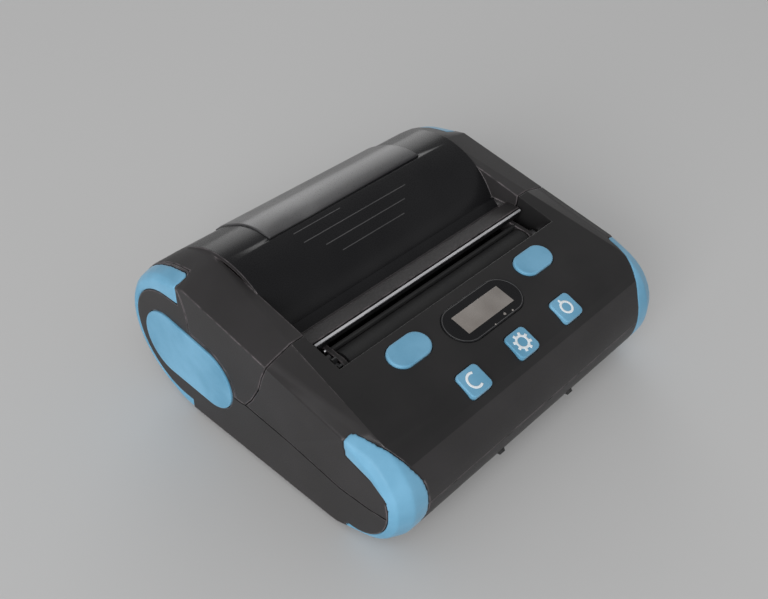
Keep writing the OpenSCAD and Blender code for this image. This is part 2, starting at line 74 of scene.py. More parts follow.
def addModifier(piece, kind, **values):
    makeActive(piece)
    modifier = piece.modifiers.new(kind.lower(), kind)
    for key, value in values.items():
        setattr(modifier, key, value)
    bpy.ops.object.modifier_apply(modifier=modifier.name)


def smoothByAngle(piece, degrees):
    makeActive(piece)
    bpy.ops.object.shade_smooth_by_angle(angle=math.radians(degrees))


def dress(piece, material, body):
    piece.data.materials.clear()
    piece.data.materials.append(material)
    if body:
        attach(piece, body)


softLook = {"voxel": 0.42, "passes": 14, "relax": 0.5, "rimReach": 0.05, "angle": 48, "smooth": 38,
            "segments": 3, "merge": 0.004, "flat": 0.6, "weight": 70}


def softCopy(nodeName, newName, body, material, width, voxel=0, rim=None):
    # a merged copy of a CAD solid that then stands for it. voxel relaxes it into soft rubber, rim rounds the
    # edge of its outermost face, and otherwise the sharp edges are rounded by width, or kept where width is 0
    source = cadNodes[nodeName]
    copy = bpy.data.objects.new(newName, source.data.copy())
    bpy.context.scene.collection.objects.link(copy)
    makeActive(copy)
    bpy.ops.object.mode_set(mode="EDIT")
    bpy.ops.mesh.select_all(action="SELECT")
    bpy.ops.mesh.remove_doubles(threshold=softLook["merge"] * mm)
    bpy.ops.mesh.dissolve_limited(angle_limit=math.radians(softLook["flat"]))
    bpy.ops.object.mode_set(mode="OBJECT")
    if voxel:
        # an even fine mesh, relaxed so that its edges turn round like moulded rubber
        addModifier(copy, "REMESH", mode="VOXEL", voxel_size=voxel * mm)
        addModifier(copy, "SMOOTH", factor=softLook["relax"], iterations=softLook["passes"])
        makeActive(copy)
        bpy.ops.object.shade_smooth()
        dress(copy, material, body)
        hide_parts(nodeName)
        return copy
    if rim:
        # only the edge round the outermost face is rounded
        outward = Vector(rim)
        heights = [vertex.co.dot(outward) for vertex in copy.data.vertices]
        lowest = max(heights) - softLook["rimReach"] * mm
        edgeOn = [index for index, height in enumerate(heights) if height > lowest]
        copy.vertex_groups.new(name="rim").add(edgeOn, 1.0, "REPLACE")
        addModifier(copy, "BEVEL", width=width * mm, segments=softLook["segments"], limit_method="VGROUP",
                    vertex_group="rim", use_clamp_overlap=False, harden_normals=False)
    elif width:
        addModifier(copy, "BEVEL", width=width * mm, segments=softLook["segments"], limit_method="ANGLE",
                    angle_limit=math.radians(softLook["angle"]), use_clamp_overlap=False,
                    miter_outer="MITER_ARC", harden_normals=False)
    smoothByAngle(copy, softLook["smooth"])
    addModifier(copy, "WEIGHTED_NORMAL", mode="FACE_AREA", weight=softLook["weight"], keep_sharp=True)
    dress(copy, material, body)
    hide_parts(nodeName)
    return copy


# shader groups shared by the finishes


def newGroup(name, inputs, outputs):
    group = bpy.data.node_groups.new(name, "ShaderNodeTree")
    for label, value in inputs:
        socket = group.interface.new_socket(name=label, in_out="INPUT", socket_type="NodeSocketFloat")
        socket.default_value = value
    for label, kind in outputs:
        group.interface.new_socket(name=label, in_out="OUTPUT", socket_type=kind)
    return group, group.nodes.new("NodeGroupInput"), group.nodes.new("NodeGroupOutput")


def addNode(tree, kind, **values):
    node = tree.nodes.new(kind)
    for key, value in values.items():
        setattr(node, key, value)
    return node


def buildGrain():
    # fine moulded texture: two noises, one tight and one loose
    group, start, end = newGroup("mouldedGrain", [("Scale", 2400.0), ("Stretch", 1.0)],
                                 [("Height", "NodeSocketFloat"), ("Patches", "NodeSocketFloat")])
    links = group.links
    place = addNode(group, "ShaderNodeTexCoord")
    spread = addNode(group, "ShaderNodeVectorMath", operation="MULTIPLY")
    combine = addNode(group, "ShaderNodeCombineXYZ")
    combine.inputs["Y"].default_value = 1.0
    combine.inputs["Z"].default_value = 1.0
    links.new(start.outputs["Stretch"], combine.inputs["X"])
    links.new(place.outputs["Object"], spread.inputs[0])
    links.new(combine.outputs["Vector"], spread.inputs[1])
    tight = addNode(group, "ShaderNodeTexNoise")
    tight.inputs["Detail"].default_value = 3.0
    links.new(spread.outputs["Vector"], tight.inputs["Vector"])
    links.new(start.outputs["Scale"], tight.inputs["Scale"])
    loose = addNode(group, "ShaderNodeTexNoise")
    loose.inputs["Scale"].default_value = 42.0
    loose.inputs["Detail"].default_value = 4.0
    links.new(place.outputs["Object"], loose.inputs["Vector"])
    links.new(tight.outputs["Fac"], end.inputs["Height"])
    links.new(loose.outputs["Fac"], end.inputs["Patches"])
    return group


def buildEdge():
    # how far a point lies on a sharp edge, from 0 to 1, and the normal rounded over that edge
    group, start, end = newGroup("edgeSoft", [("Radius", 0.0006), ("Edge Noise Scale", 300.0)],
                                 [("Mask", "NodeSocketFloat"), ("Normal", "NodeSocketVector")])
    links = group.links
    bevel = addNode(group, "ShaderNodeBevel", samples=6)
    links.new(start.outputs["Radius"], bevel.inputs["Radius"])
    flat = addNode(group, "ShaderNodeNewGeometry")
    dot = addNode(group, "ShaderNodeVectorMath", operation="DOT_PRODUCT")
    links.new(bevel.outputs["Normal"], dot.inputs[0])
    links.new(flat.outputs["Normal"], dot.inputs[1])
    band = addNode(group, "ShaderNodeMapRange")
    band.inputs["From Min"].default_value = 0.995
    band.inputs["From Max"].default_value = 0.90
    links.new(dot.outputs["Value"], band.inputs["Value"])
    place = addNode(group, "ShaderNodeTexCoord")
    edgeNoise = addNode(group, "ShaderNodeTexNoise")
    edgeNoise.inputs["Detail"].default_value = 4.0
    links.new(place.outputs["Object"], edgeNoise.inputs["Vector"])
    links.new(start.outputs["Edge Noise Scale"], edgeNoise.inputs["Scale"])
    broken = addNode(group, "ShaderNodeMapRange")
    broken.inputs["From Min"].default_value = 0.3
    broken.inputs["From Max"].default_value = 0.6
    links.new(edgeNoise.outputs["Fac"], broken.inputs["Value"])
    both = addNode(group, "ShaderNodeMath", operation="MULTIPLY")
    links.new(band.outputs["Result"], both.inputs[0])
    links.new(broken.outputs["Result"], both.inputs[1])
    links.new(both.outputs["Value"], end.inputs["Mask"])
    links.new(bevel.outputs["Normal"], end.inputs["Normal"])
    return group


grainGroup = buildGrain()
edgeGroup = buildEdge()

plainLook = {"dark": (0.03, 0.03, 0.03), "light": (0.04, 0.04, 0.04), "edgeWearAndHighlight": (0.12, 0.12, 0.12),
             "rough": (0.45, 0.6), "metal": 0.0, "grain": 2400, "stretch": 1.0, "bump": 0.1, "edge": 0.5,
             "coat": 0.0, "coatRough": 0.1, "specular": 0.5, "sheen": 0.0, "edgeWearAndHighlightAmount": 0.6}


def makeLook(name, look):
    # one finish: two colours in patches, edges lightened by wear and a painted highlight, grain in the height
    # and the roughness
    values = dict(plainLook)
    values.update(look)
    material = bpy.data.materials.new(name)
    material.use_nodes = True
    tree = material.node_tree
    links = tree.links
    skin = tree.nodes["Principled BSDF"]
    skin.inputs["Metallic"].default_value = values["metal"]
    skin.inputs["Coat Weight"].default_value = values["coat"]
    skin.inputs["Coat Roughness"].default_value = values["coatRough"]
    skin.inputs["Specular IOR Level"].default_value = values["specular"]
    skin.inputs["Sheen Weight"].default_value = values["sheen"]
    skin.inputs["Sheen Roughness"].default_value = 0.45
    grain = addNode(tree, "ShaderNodeGroup", node_tree=grainGroup)
    grain.inputs["Scale"].default_value = values["grain"]
    grain.inputs["Stretch"].default_value = values["stretch"]
    edge = addNode(tree, "ShaderNodeGroup", node_tree=edgeGroup)
    edge.inputs["Radius"].default_value = values["edge"] * mm
    patches = addNode(tree, "ShaderNodeMapRange")
    patches.inputs["From Min"].default_value = 0.35
    patches.inputs["From Max"].default_value = 0.65
    links.new(grain.outputs["Patches"], patches.inputs["Value"])
    colour = addNode(tree, "ShaderNodeMix", data_type="RGBA")
    colour.inputs["A"].default_value = (*values["dark"], 1)
    colour.inputs["B"].default_value = (*values["light"], 1)
    links.new(patches.outputs["Result"], colour.inputs["Factor"])
    # the edge mask lightens the colour: wear, and a painted highlight along the edges
    amount = addNode(tree, "ShaderNodeMath", operation="MULTIPLY")
    amount.inputs[1].default_value = values["edgeWearAndHighlightAmount"]
    links.new(edge.outputs["Mask"], amount.inputs[0])
    edgeWearAndHighlight = addNode(tree, "ShaderNodeMix", data_type="RGBA")
    edgeWearAndHighlight.inputs["B"].default_value = (*values["edgeWearAndHighlight"], 1)
    links.new(amount.outputs["Value"], edgeWearAndHighlight.inputs["Factor"])
    links.new(colour.outputs["Result"], edgeWearAndHighlight.inputs["A"])
    links.new(edgeWearAndHighlight.outputs["Result"], skin.inputs["Base Color"])
    rough = addNode(tree, "ShaderNodeMapRange")
    rough.inputs["From Min"].default_value = 0.3
    rough.inputs["From Max"].default_value = 0.7
    rough.inputs["To Min"].default_value = values["rough"][0]
    rough.inputs["To Max"].default_value = values["rough"][1]
    links.new(grain.outputs["Height"], rough.inputs["Value"])
    links.new(rough.outputs["Result"], skin.inputs["Roughness"])
    bump = addNode(tree, "ShaderNodeBump")
    bump.inputs["Strength"].default_value = values["bump"]
    bump.inputs["Distance"].default_value = 0.05 * mm
    links.new(grain.outputs["Height"], bump.inputs["Height"])
    links.new(edge.outputs["Normal"], bump.inputs["Normal"])
    links.new(bump.outputs["Normal"], skin.inputs["Normal"])
    return material


looks = {
    # the case's light pinkish edge colour is mostly a painted highlight along its top edges, partly wear
    "casePlastic": {"dark": (0.024, 0.0225, 0.023), "light": (0.030, 0.028, 0.029),
                    "edgeWearAndHighlight": (0.19, 0.165, 0.175), "rough": (0.4, 0.54), "bump": 0.22, "edge": 0.9, "edgeWearAndHighlightAmount": 0.75, "specular": 0.33},
    "deckPlastic": {"dark": (0.017, 0.0165, 0.017), "light": (0.022, 0.021, 0.0215),
                    "edgeWearAndHighlight": (0.08, 0.075, 0.075), "rough": (0.30, 0.42), "bump": 0.12, "edge": 0.4, "edgeWearAndHighlightAmount": 0.4, "specular": 0.25},
    "glossBlack": {"dark": (0.009, 0.009, 0.010), "light": (0.012, 0.012, 0.013), "edgeWearAndHighlight": (0.05, 0.05, 0.055),
                   "rough": (0.24, 0.32), "bump": 0.03, "edge": 0.4, "edgeWearAndHighlightAmount": 0.3, "specular": 0.16},
    "windowPlastic": {"dark": (0.016, 0.016, 0.018), "light": (0.024, 0.023, 0.025), "edgeWearAndHighlight": (0.07, 0.07, 0.08),
                      "rough": (0.26, 0.34), "bump": 0.02, "edge": 0.4, "edgeWearAndHighlightAmount": 0.4, "specular": 0.4},
    "blueRubber": {"dark": (0.09, 0.285, 0.44), "light": (0.165, 0.40, 0.585), "edgeWearAndHighlight": (0.24, 0.48, 0.65),
                   "rough": (0.5, 0.64), "grain": 1500, "bump": 0.35, "edge": 0.6, "sheen": 0.15, "edgeWearAndHighlightAmount": 0.25},
    "blackRubber": {"dark": (0.010, 0.010, 0.011), "light": (0.016, 0.016, 0.016), "edgeWearAndHighlight": (0.03, 0.03, 0.03),
                    "rough": (0.6, 0.8), "grain": 3200, "bump": 0.3, "edge": 0.2, "edgeWearAndHighlightAmount": 0.2},
    "brightSteel": {"dark": (0.78, 0.78, 0.80), "light": (0.86, 0.86, 0.88), "edgeWearAndHighlight": (0.95, 0.95, 0.95),
                    "rough": (0.2, 0.34), "metal": 1.0, "grain": 1800, "stretch": 0.03, "bump": 0.1,
                    "edge": 0.15, "edgeWearAndHighlightAmount": 0.5},
    "springSteel": {"dark": (0.50, 0.50, 0.52), "light": (0.62, 0.62, 0.64), "edgeWearAndHighlight": (0.8, 0.8, 0.8),
                    "rough": (0.3, 0.45), "metal": 1.0, "grain": 900, "bump": 0.1, "edge": 0.2, "edgeWearAndHighlightAmount": 0.5},
    "castAluminium": {"dark": (0.42, 0.43, 0.45), "light": (0.55, 0.56, 0.58), "edgeWearAndHighlight": (0.75, 0.75, 0.76),
                      "rough": (0.38, 0.55), "metal": 1.0, "grain": 1200, "bump": 0.2, "edge": 0.3,
                      "edgeWearAndHighlightAmount": 0.5},
    "brass": {"dark": (0.55, 0.38, 0.13), "light": (0.70, 0.50, 0.20), "edgeWearAndHighlight": (0.85, 0.7, 0.4),
              "rough": (0.25, 0.4), "metal": 1.0, "grain": 1400, "bump": 0.1, "edge": 0.15, "edgeWearAndHighlightAmount": 0.5},
    "gearPlastic": {"dark": (0.035, 0.035, 0.037), "light": (0.05, 0.05, 0.052), "edgeWearAndHighlight": (0.12, 0.12, 0.12),
                    "rough": (0.35, 0.5), "bump": 0.1, "edge": 0.15, "edgeWearAndHighlightAmount": 0.4},
    "boardGreen": {"dark": (0.012, 0.10, 0.035), "light": (0.025, 0.16, 0.06), "edgeWearAndHighlight": (0.3, 0.24, 0.1),
                   "rough": (0.3, 0.5), "grain": 700, "bump": 0.2, "edge": 0.15, "edgeWearAndHighlightAmount": 0.4},
    "batteryWrap": {"dark": (0.03, 0.07, 0.14), "light": (0.05, 0.10, 0.19), "edgeWearAndHighlight": (0.12, 0.16, 0.25),
                    "rough": (0.25, 0.4), "grain": 500, "bump": 0.15, "edge": 0.6, "edgeWearAndHighlightAmount": 0.4},
    "displayGlass": {"dark": (0.19, 0.17, 0.155), "light": (0.31, 0.285, 0.265), "edgeWearAndHighlight": (0.35, 0.33, 0.31),
                     "rough": (0.2, 0.32), "grain": 900, "bump": 0.03, "edge": 0.2, "coat": 0.5, "edgeWearAndHighlightAmount": 0.2},
    # the tear bar's light grey is partly the steel's own colour and partly a painted reflection: the bar is
    # only partly metallic so that it shows bright without reflecting a lamp
    "tearSteelPaintedShine": {"dark": (0.5, 0.5, 0.52), "light": (0.6, 0.6, 0.62), "edgeWearAndHighlight": (0.95, 0.95, 0.95),
                  "rough": (0.25, 0.38), "metal": 0.35, "grain": 1800, "stretch": 0.03, "bump": 0.05,
                  "edge": 0.15, "edgeWearAndHighlightAmount": 0.5},
    # near-black steel: painted shade on the chassis and the tear bar's body in and along the paper slot
    "slotShadeSteel": {"dark": (0.035, 0.035, 0.037), "light": (0.055, 0.055, 0.058), "edgeWearAndHighlight": (0.2, 0.2, 0.2),
                  "rough": (0.35, 0.5), "metal": 0.8, "grain": 900, "bump": 0.1, "edge": 0.2, "edgeWearAndHighlightAmount": 0.5},
    "whitePrint": {"dark": (0.70, 0.76, 0.80), "light": (0.82, 0.87, 0.90), "edgeWearAndHighlight": (0.7, 0.8, 0.85),
                   "rough": (0.45, 0.6), "grain": 2600, "bump": 0.1, "edge": 0.1, "edgeWearAndHighlightAmount": 0.3},
    "seamBlack": {"dark": (0.004, 0.004, 0.004), "light": (0.007, 0.007, 0.007), "edgeWearAndHighlight": (0.02, 0.02, 0.02),
                  "rough": (0.7, 0.9), "bump": 0.1, "edge": 0.05, "specular": 0.1, "edgeWearAndHighlightAmount": 0.1},
    "linePrint": {"dark": (0.05, 0.05, 0.052), "light": (0.075, 0.073, 0.075), "edgeWearAndHighlight": (0.09, 0.09, 0.09),
                  "rough": (0.35, 0.5), "grain": 2600, "bump": 0.1, "edge": 0.1, "edgeWearAndHighlightAmount": 0.3},
}
finishes = {name: makeLook(name, look) for name, look in looks.items()}


def buildWindowReflection():
    # a painted reflection: a grey cloud of light colour that is thick on the window's left and thins out to the
    # right
    group, start, end = newGroup("windowPaintedReflection", [("Left", -0.034), ("Right", 0.024)],
                                 [("Reflection Mask", "NodeSocketFloat")])
    links = group.links
    place = addNode(group, "ShaderNodeTexCoord")
    split = addNode(group, "ShaderNodeSeparateXYZ")
    links.new(place.outputs["Object"], split.inputs["Vector"])
    fade = addNode(group, "ShaderNodeMapRange", interpolation_type="SMOOTHSTEP")
    links.new(split.outputs["X"], fade.inputs["Value"])
    links.new(start.outputs["Right"], fade.inputs["From Min"])
    links.new(start.outputs["Left"], fade.inputs["From Max"])
    cloud = addNode(group, "ShaderNodeTexNoise")
    cloud.inputs["Scale"].default_value = 34.0
    cloud.inputs["Detail"].default_value = 2.0
    cloud.inputs["Distortion"].default_value = 1.2
    links.new(place.outputs["Object"], cloud.inputs["Vector"])
    soft = addNode(group, "ShaderNodeMapRange", interpolation_type="SMOOTHSTEP")
    soft.inputs["From Min"].default_value = 0.3
    soft.inputs["From Max"].default_value = 0.62
    soft.inputs["To Min"].default_value = 0.35
    links.new(cloud.outputs["Fac"], soft.inputs["Value"])
    both = addNode(group, "ShaderNodeMath", operation="MULTIPLY")
    links.new(fade.outputs["Result"], both.inputs[0])
    links.new(soft.outputs["Result"], both.inputs[1])
    links.new(both.outputs["Value"], end.inputs["Reflection Mask"])
    return group


# the window's colour is mixed towards grey where the painted reflection lies
reflectionTree = finishes["windowPlastic"].node_tree
reflectionSkin = reflectionTree.nodes["Principled BSDF"]
reflectionNode = addNode(reflectionTree, "ShaderNodeGroup", node_tree=buildWindowReflection())
reflectionMix = addNode(reflectionTree, "ShaderNodeMix", data_type="RGBA")
reflectionMix.inputs["B"].default_value = (0.10, 0.10, 0.102, 1)
reflectionTree.links.new(reflectionNode.outputs["Reflection Mask"], reflectionMix.inputs["Factor"])
reflectionTree.links.new(reflectionSkin.inputs["Base Color"].links[0].from_socket, reflectionMix.inputs["A"])
reflectionTree.links.new(reflectionMix.outputs["Result"], reflectionSkin.inputs["Base Color"])
print("finishes made:", len(finishes))

# the skins of the outside pieces

outerSkins = {
    "bottomSkin": ("bottom_case", "case", "case_plastic", "casePlastic", 0),
    "topSkin": ("top_case", "case", "case_plastic", "deckPlastic", 0),
    "coverSkin": ("cover_shell", "cover", "gloss_plastic", "casePlastic", 0),
    "windowSkin": ("cover_window", "cover", "window_plastic", "windowPlastic", 0.35),
    "frontBumperLeftSkin": ("front_bumper_left", "case", "blue_rubber", "blueRubber", "soft"),
    "frontBumperRightSkin": ("front_bumper_right", "case", "blue_rubber", "blueRubber", "soft"),
    "rearBumperLeftSkin": ("rear_bumper_left", "case", "blue_rubber", "blueRubber", "soft"),
    "rearBumperRightSkin": ("rear_bumper_right", "case", "blue_rubber", "blueRubber", "soft"),
    "releaseLeftSkin": ("release_button_left", "release_l", "blue_rubber", "blueRubber", 0.4),
    "releaseRightSkin": ("release_button_right", "release_r", "blue_rubber", "blueRubber", 0.4),
    "feedLeftSkin": ("feed_button_left", "feed_left", "blue_rubber", "blueRubber", 0.75),
    "feedRightSkin": ("feed_button_right", "feed_right", "blue_rubber", "blueRubber", 0.75),
    "keyLeftSkin": ("key_left", "key_l", "blue_rubber", "blueRubber", 0.48),
    "keyMiddleSkin": ("key_middle", "key_m", "blue_rubber", "blueRubber", 0.48),
    "keyRightSkin": ("key_right", "key_r", "blue_rubber", "blueRubber", 0.48),
    "feetSkin": ("rubber_feet", "case", "black_rubber", "blackRubber", 0.3),
    "batteryCoverSkin": ("battery_cover", "battery_door", "case_plastic", "casePlastic", 0.2),
}
deckNormal = (0, -0.228351, 0.973579)
skins = {}
for newName, (nodeName, body, slotName, finish, width) in outerSkins.items():
    if width == "soft":
        skins[newName] = softCopy(nodeName, newName, body, finishes[finish], 0,
                                  voxel=softLook["voxel"])
    else:
        rim = deckNormal if nodeName.startswith("feed") else None
        skins[newName] = softCopy(nodeName, newName, body, finishes[finish], width, rim=rim)
print("skins made:", len(skins))

# the cover's middle is glossy, its outer bands are satin like the case
coverLook = {"glossHalf": 59.9, "landEnd": -1.0}
coverSkin = skins["coverSkin"]
coverSkin.data.materials.append(finishes["glossBlack"])
for face in coverSkin.data.polygons:
    if abs(face.center.x) < coverLook["glossHalf"] * mm and face.center.y > coverLook["landEnd"] * mm:
        face.material_index = 1

insideLooks = {
    # the chassis and the tear bar's body take near-black steel, painted shade in and along the paper slot
    "tear_bar": "slotShadeSteel", "case_screws": "springSteel", "release_spring_left": "springSteel",
    "release_spring_right": "springSteel", "chassis": "slotShadeSteel", "head_pivot_pin": "brightSteel",
    "head_springs": "springSteel", "platen_shaft": "brightSteel", "idler_axle": "brightSteel",
    "hinge_pins": "brightSteel", "usb_socket": "brightSteel", "stepper_motor": "castAluminium",
    "platen_rubber": "blackRubber", "port_cover": "blackRubber", "nose_studs": "blackRubber",
    "key_board": "boardGreen", "main_board": "boardGreen", "battery_pack": "batteryWrap",
    "battery_contacts": "brass", "clip_inserts": "brass", "motor_pinion": "brass",
    "print_head": "castAluminium", "head_heatsink": "castAluminium", "platen_gear": "gearPlastic",
    "idler_gear": "gearPlastic", "display_module": "displayGlass", "display_window": "glossBlack",
    "platen_bushes": "casePlastic", "roll_tray": "deckPlastic", "paper_guide_left": "deckPlastic",
    "paper_guide_right": "deckPlastic", "paper_sensor": "deckPlastic", "cover_switch": "deckPlastic",
    "dc_socket": "deckPlastic",
}
for nodeName, finish in insideLooks.items():
    node = cadNodes[nodeName]
    node.data.materials.clear()
    node.data.materials.append(finishes[finish])
print("inside pieces dressed:", len(insideLooks))

# the deck's middle and the nose are a shade darker than the side bands
deckLook = {"bandStart": 61.9}
topSkin = skins["topSkin"]
topSkin.data.materials.append(finishes["casePlastic"])
for face in topSkin.data.polygons:
    if min(abs(topSkin.data.vertices[v].co.x) for v in face.vertices) > deckLook["bandStart"] * mm:
        face.material_index = 1

# places on the printer, in millimetres

deck = {"tilt": 13.2, "y": -53.730, "z": 48.866, "keyTilt": 22.0, "keyY": -59.4, "keyZ": 46.753}
bulge = {"y": 32.0, "z": 37.5, "radius": 33.0, "windowStart": 26.0, "windowLift": 0.7}


def deckPlace(x, y, lift):
    height = deck["z"] + (y - deck["y"]) * math.tan(math.radians(deck["tilt"]))
    return (Matrix.Translation((x * mm, y * mm, height * mm))
            @ Matrix.Rotation(math.radians(deck["tilt"]), 4, "X") @ Matrix.Translation((0, 0, lift * mm)))


def keyPlace(x, lift):
    return (Matrix.Translation((x * mm, deck["keyY"] * mm, deck["keyZ"] * mm))
            @ Matrix.Rotation(math.radians(deck["keyTilt"]), 4, "X") @ Matrix.Translation((0, 0, lift * mm)))


def bulgePlace(x, y, lift):
    # a place on the round cover, tilted with its surface
    radius = bulge["radius"] + lift + (bulge["windowLift"] if y > bulge["windowStart"] else 0)
    lean = math.asin((y - bulge["y"]) / bulge["radius"])
    return (Matrix.Translation((x * mm, (bulge["y"] + radius * math.sin(lean)) * mm,
                                (bulge["z"] + radius * math.cos(lean)) * mm))
            @ Matrix.Rotation(-lean, 4, "X"))


def putAt(piece, place):
    piece.matrix_world = place @ piece.matrix_world
    settle(piece)


def joinPieces(name, parts):
    deselectAll()
    for part in parts:
        part.select_set(True)
    bpy.context.view_layer.objects.active = parts[0]
    if len(parts) > 1:
        bpy.ops.object.join()
    whole = bpy.context.view_layer.objects.active
    whole.name = name
    whole.data.name = name
    return whole


def roundedBlock(name, size, place, bevel):
    # a block with its edges rounded, modelled at the origin and put in place
    deselectAll()
    bpy.ops.mesh.primitive_cube_add(size=1)
    piece = bpy.context.object
    piece.name = name
    piece.scale = [v * mm for v in size]
    settle(piece)
    addModifier(piece, "BEVEL", width=bevel * mm, segments=3, limit_method="ANGLE",
                angle_limit=math.radians(40))
    smoothByAngle(piece, 50)
    putAt(piece, place)
    return piece


def longRound(name, length, width, height):
    # a plate with two round ends: a cylinder pulled apart in the middle
    deselectAll()
    bpy.ops.mesh.primitive_cylinder_add(vertices=64, radius=width / 2 * mm, depth=height * mm)
    piece = bpy.context.object
    piece.name = name
    pull = (length - width) / 2 * mm
    for way in (1, -1):
        selectWhere(piece, "VERT", lambda v: v.co.x * way > 0.02 * mm)
        bpy.ops.transform.translate(value=(pull * way, 0, 0))
        bpy.ops.object.mode_set(mode="OBJECT")
    return piece


# the display's glass, its rim and its marks

displayLook = {"y": -41.2, "glass": (25.8, 8.9, 0.16), "glassLift": 0.19, "glassSoft": 0.07,
               "rim": (38.2, 16.0, 0.3, 0.16), "rimLift": 0.13, "rimSoft": 0.05, "markLift": 0.18,
               "markTall": 0.1, "markInset": (0.12, 0.05),
               "marks": ((5.0, -47.5, 0.55), (8.8, -48.2, 0.42), (-1.7, -48.6, 0.35))}
glass = roundedBlock("displayGlass", displayLook["glass"],
                     deckPlace(0, displayLook["y"], displayLook["glassLift"]), displayLook["glassSoft"])
dress(glass, finishes["displayGlass"], "case")

rimLength, rimWidth, rimLine, rimHeight = displayLook["rim"]
rim = longRound("displayRim", rimLength, rimWidth, rimHeight)
for way in (1, -1):
    selectWhere(rim, "FACE", lambda f: f.normal.z * way > 0.9 and len(f.vertices) > 20)
    bpy.ops.mesh.inset(thickness=rimLine * mm)
    bpy.ops.object.mode_set(mode="OBJECT")
selectWhere(rim, "FACE", lambda f: abs(f.normal.z) > 0.9 and len(f.vertices) > 20)
bpy.ops.mesh.delete(type="ONLY_FACE")
bpy.ops.mesh.select_all(action="DESELECT")
bpy.ops.mesh.select_mode(type="EDGE")
bpy.ops.mesh.select_non_manifold()
bpy.ops.mesh.bridge_edge_loops()
bpy.ops.mesh.select_all(action="SELECT")
bpy.ops.mesh.normals_make_consistent(inside=False)
bpy.ops.object.mode_set(mode="OBJECT")
addModifier(rim, "BEVEL", width=displayLook["rimSoft"] * mm, segments=2, limit_method="ANGLE",
            angle_limit=math.radians(50))
smoothByAngle(rim, 40)
putAt(rim, deckPlace(0, displayLook["y"], displayLook["rimLift"]))
dress(rim, finishes["linePrint"], "case")

dots = []
for x, y, radius in displayLook["marks"]:
    deselectAll()
    bpy.ops.mesh.primitive_cylinder_add(vertices=24, radius=radius * mm, depth=displayLook["markTall"] * mm)
    dot = bpy.context.object
    selectWhere(dot, "FACE", lambda f: f.normal.z > 0.9)
    markIn, markUp = displayLook["markInset"]
    bpy.ops.mesh.inset(thickness=markIn * mm, depth=markUp * mm)
    bpy.ops.object.mode_set(mode="OBJECT")
    putAt(dot, deckPlace(x, y, displayLook["markLift"]))
    dots.append(dot)
marks = joinPieces("displayMarks", dots)
dress(marks, finishes["displayGlass"], "case")
print("display made")

# the symbols on the keys

symbolLook = {"ring": 2.85, "line": 0.5, "lift": 0.93, "flat": 0.12, "teeth": 8, "toothReach": 3.9,
              "gap": 55.0, "pitch": 27.0, "wheelRing": 0.86, "tooth": (1.5, 1.15), "toothSink": 0.75,
              "tickRing": 0.84, "tick": (1.9, 0.95, 3.0), "tickTurn": 100, "soft": 0.03}


def flatRing(radius):
    deselectAll()
    bpy.ops.mesh.primitive_torus_add(major_segments=48, minor_segments=10, major_radius=radius * mm,
                                     minor_radius=symbolLook["line"] * mm)
    ring = bpy.context.object
    ring.scale.z = symbolLook["flat"]
    settle(ring)
    smoothByAngle(ring, 60)
    return ring


def flatBar(length, width, middle, turn):
    place = Matrix.Rotation(turn, 4, "Z") @ Matrix.Translation((middle * mm, 0, 0))
    size = (length, width, 2 * symbolLook["line"] * symbolLook["flat"])
    return roundedBlock("bar", size, place, symbolLook["soft"])


openRing = flatRing(symbolLook["ring"])
halfGap = math.radians(symbolLook["gap"])
selectWhere(openRing, "VERT", lambda v: abs(math.atan2(v.co.y, v.co.x)) < halfGap)
bpy.ops.mesh.delete(type="VERT")
bpy.ops.mesh.select_all(action="DESELECT")
bpy.ops.mesh.select_mode(type="EDGE")
bpy.ops.mesh.select_non_manifold()
bpy.ops.mesh.fill()
bpy.ops.object.mode_set(mode="OBJECT")

wheel = [flatRing(symbolLook["ring"] * symbolLook["wheelRing"])]
for k in range(symbolLook["teeth"]):
    turn = 2 * math.pi * (k + 0.5) / symbolLook["teeth"]
    wheel.append(flatBar(*symbolLook["tooth"], symbolLook["toothReach"] - symbolLook["toothSink"], turn))
wheel = joinPieces("wheelSymbol", wheel)

tick = flatBar(*symbolLook["tick"], math.radians(symbolLook["tickTurn"]))
tickRing = joinPieces("tickSymbol", [flatRing(symbolLook["ring"] * symbolLook["tickRing"]), tick])

symbols = ((openRing, "openRingSymbol", -1, "key_l"), (wheel, "wheelSymbol", 0, "key_m"),
           (tickRing, "tickSymbol", 1, "key_r"))
for symbol, name, where, body in symbols:
    symbol.name = name
    putAt(symbol, keyPlace(where * symbolLook["pitch"], symbolLook["lift"]))
    dress(symbol, finishes["whitePrint"], body)
print("key symbols made")

# lines on the cover, the tear bar and the rivet

coverLines = {"width": 0.34, "height": 0.16, "soft": 0.05,
              "rows": ((19.2, -31.5, 23.5), (14.75, -24.5, 18.5), (10.75, -20, 14), (24.2, -32, -8))}
ribs = []
for y, start, end in coverLines["rows"]:
    ribs.append(roundedBlock("rib", (end - start, coverLines["width"], coverLines["height"]),
                             bulgePlace((start + end) / 2, y, 0.0), coverLines["soft"]))
coverRibs = joinPieces("coverLines", ribs)
dress(coverRibs, finishes["linePrint"], "cover")

tearEdge = {"size": (116.0, 0.95, 0.9), "place": (0, -13.75, 54.35), "tilt": 18,
            "guide": (107.6, 1.6, 2.0), "guidePlace": (0, -15.5, 49.7), "soft": 0.2, "guideSoft": 0.5}
edgePlace = Matrix.Translation([v * mm for v in tearEdge["place"]])
edgeBar = roundedBlock("tearEdge", tearEdge["size"],
                       edgePlace @ Matrix.Rotation(math.radians(tearEdge["tilt"]), 4, "X"), tearEdge["soft"])
dress(edgeBar, finishes["tearSteelPaintedShine"], "cover")
guideStrip = roundedBlock("paperStrip", tearEdge["guide"],
                          Matrix.Translation([v * mm for v in tearEdge["guidePlace"]]), tearEdge["guideSoft"])
dress(guideStrip, finishes["blackRubber"], "cover")

